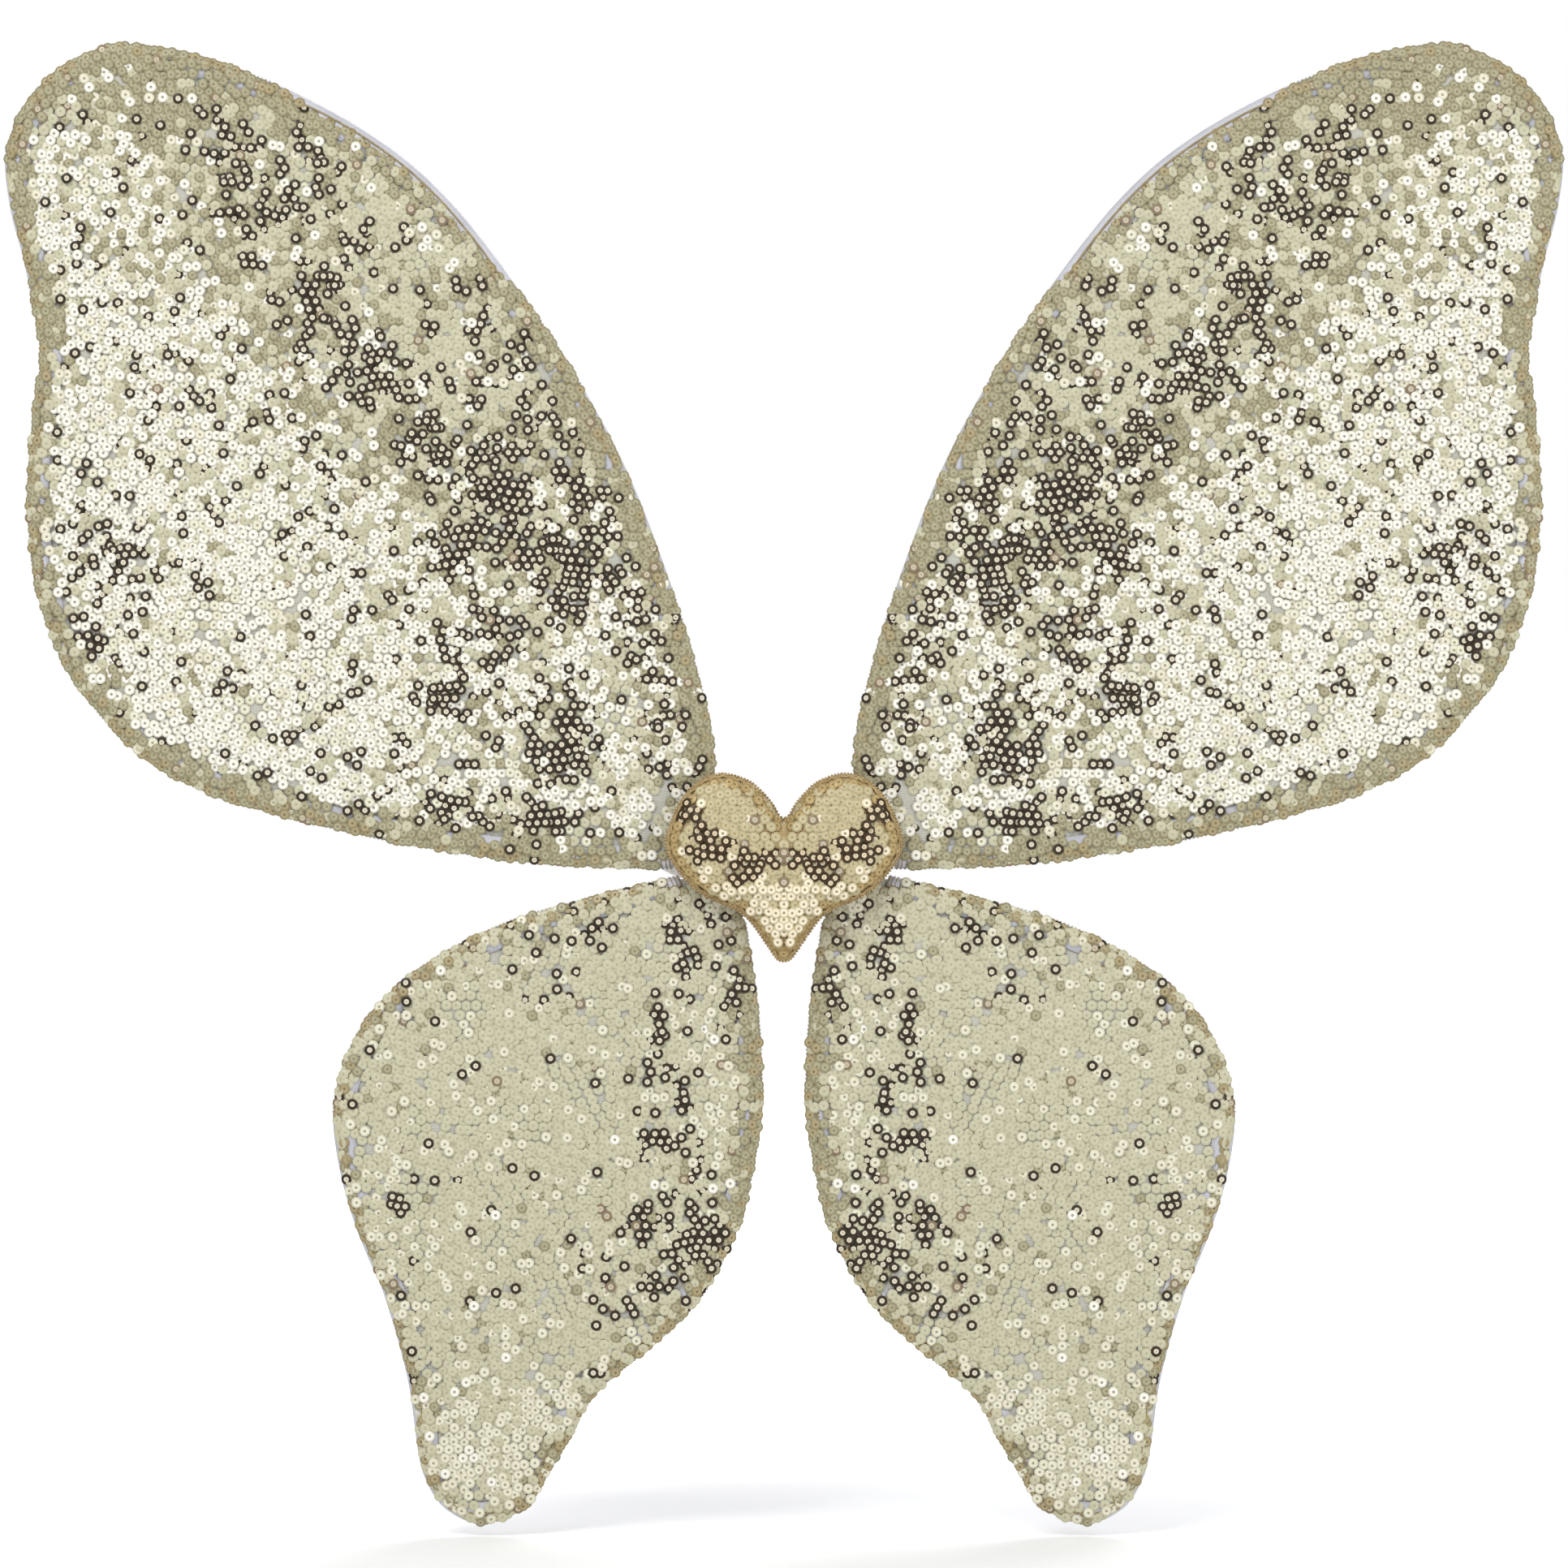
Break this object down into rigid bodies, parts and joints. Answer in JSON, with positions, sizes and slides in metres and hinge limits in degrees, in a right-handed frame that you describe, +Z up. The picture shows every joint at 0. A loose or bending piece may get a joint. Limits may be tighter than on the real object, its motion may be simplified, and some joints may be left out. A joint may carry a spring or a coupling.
{
  "type": "fairy wings",
  "caption": "Wearable butterfly-shaped wings: sequinned wire-framed panels hinged on a padded heart, with elastic shoulder loops behind.",
  "frame": {"origin": "on the rear face of the back patch, on the mirror line, just below the middle of the heart", "axes": "+Z up when worn, +Y from the wings towards the wearer's back, +X to the right of someone facing the sequinned side"},
  "size_m": [0.4376, 0.1409, 0.4156],
  "materials": {
    "steel": "drawn wire",
    "sequin": "sequins sewn on fabric",
    "binding": "golden brown thread and tape",
    "satin": "pale satin",
    "felt": "felt",
    "foam": "polyester filling",
    "board": "stiff fibre board",
    "elastic": "woven elastic"
  },
  "bodies": {
    "hub": {"back_patch": "felt", "hub_board": "board", "hub_core": "felt", "heart_cover": "sequin", "heart_back": "felt", "heart_filling": "foam", "heart_seam_binding": "binding", "left_upper_strap_tab": "elastic", "left_lower_strap_tab": "elastic", "right_upper_strap_tab": "elastic", "right_lower_strap_tab": "elastic", "upper_left_root_sleeve": "binding", "upper_right_root_sleeve": "binding", "lower_left_root_sleeve": "binding", "lower_right_root_sleeve": "binding"},
    "upper_left_wing": {"upper_left_frame_wire": "steel", "upper_left_wire_ferrule": "steel", "upper_left_edge_binding": "binding", "upper_left_sequin_panel": "sequin", "upper_left_lining_panel": "satin"},
    "upper_right_wing": {"upper_right_frame_wire": "steel", "upper_right_wire_ferrule": "steel", "upper_right_edge_binding": "binding", "upper_right_sequin_panel": "sequin", "upper_right_lining_panel": "satin"},
    "lower_left_wing": {"lower_left_frame_wire": "steel", "lower_left_wire_ferrule": "steel", "lower_left_edge_binding": "binding", "lower_left_sequin_panel": "sequin", "lower_left_lining_panel": "satin"},
    "lower_right_wing": {"lower_right_frame_wire": "steel", "lower_right_wire_ferrule": "steel", "lower_right_edge_binding": "binding", "lower_right_sequin_panel": "sequin", "lower_right_lining_panel": "satin"},
    "left_strap": {"left_strap_loop": "elastic"},
    "right_strap": {"right_strap_loop": "elastic"}
  },
  "joints": [
    {"name": "upper_left_fold", "type": "hinge", "parent": "hub", "child": "upper_left_wing", "pos_m": [-0.0239, -0.006, 0.01005], "axis": [0.4332, 0, 0.9013], "range_deg": [-30, 30], "stiffness_Nm_per_rad": 0.06},
    {"name": "upper_right_fold", "type": "hinge", "parent": "hub", "child": "upper_right_wing", "pos_m": [0.0239, -0.006, 0.01005], "axis": [0.4332, 0, -0.9013], "range_deg": [-30, 30], "stiffness_Nm_per_rad": 0.06},
    {"name": "lower_left_fold", "type": "hinge", "parent": "hub", "child": "lower_left_wing", "pos_m": [-0.0173, -0.006, -0.0057], "axis": [-0.8112, 0, 0.5848], "range_deg": [-30, 30], "stiffness_Nm_per_rad": 0.03},
    {"name": "lower_right_fold", "type": "hinge", "parent": "hub", "child": "lower_right_wing", "pos_m": [0.0173, -0.006, -0.0057], "axis": [-0.8112, 0, -0.5848], "range_deg": [-30, 30], "stiffness_Nm_per_rad": 0.03},
    {"name": "left_strap_swing", "type": "hinge", "parent": "hub", "child": "left_strap", "pos_m": [-0.0213, -0.00245, 0], "axis": [0, 0, -1], "range_deg": [-15, 25]},
    {"name": "right_strap_swing", "type": "hinge", "parent": "hub", "child": "right_strap", "pos_m": [0.0213, -0.00245, 0], "axis": [0, 0, 1], "range_deg": [-15, 25]}
  ]
}
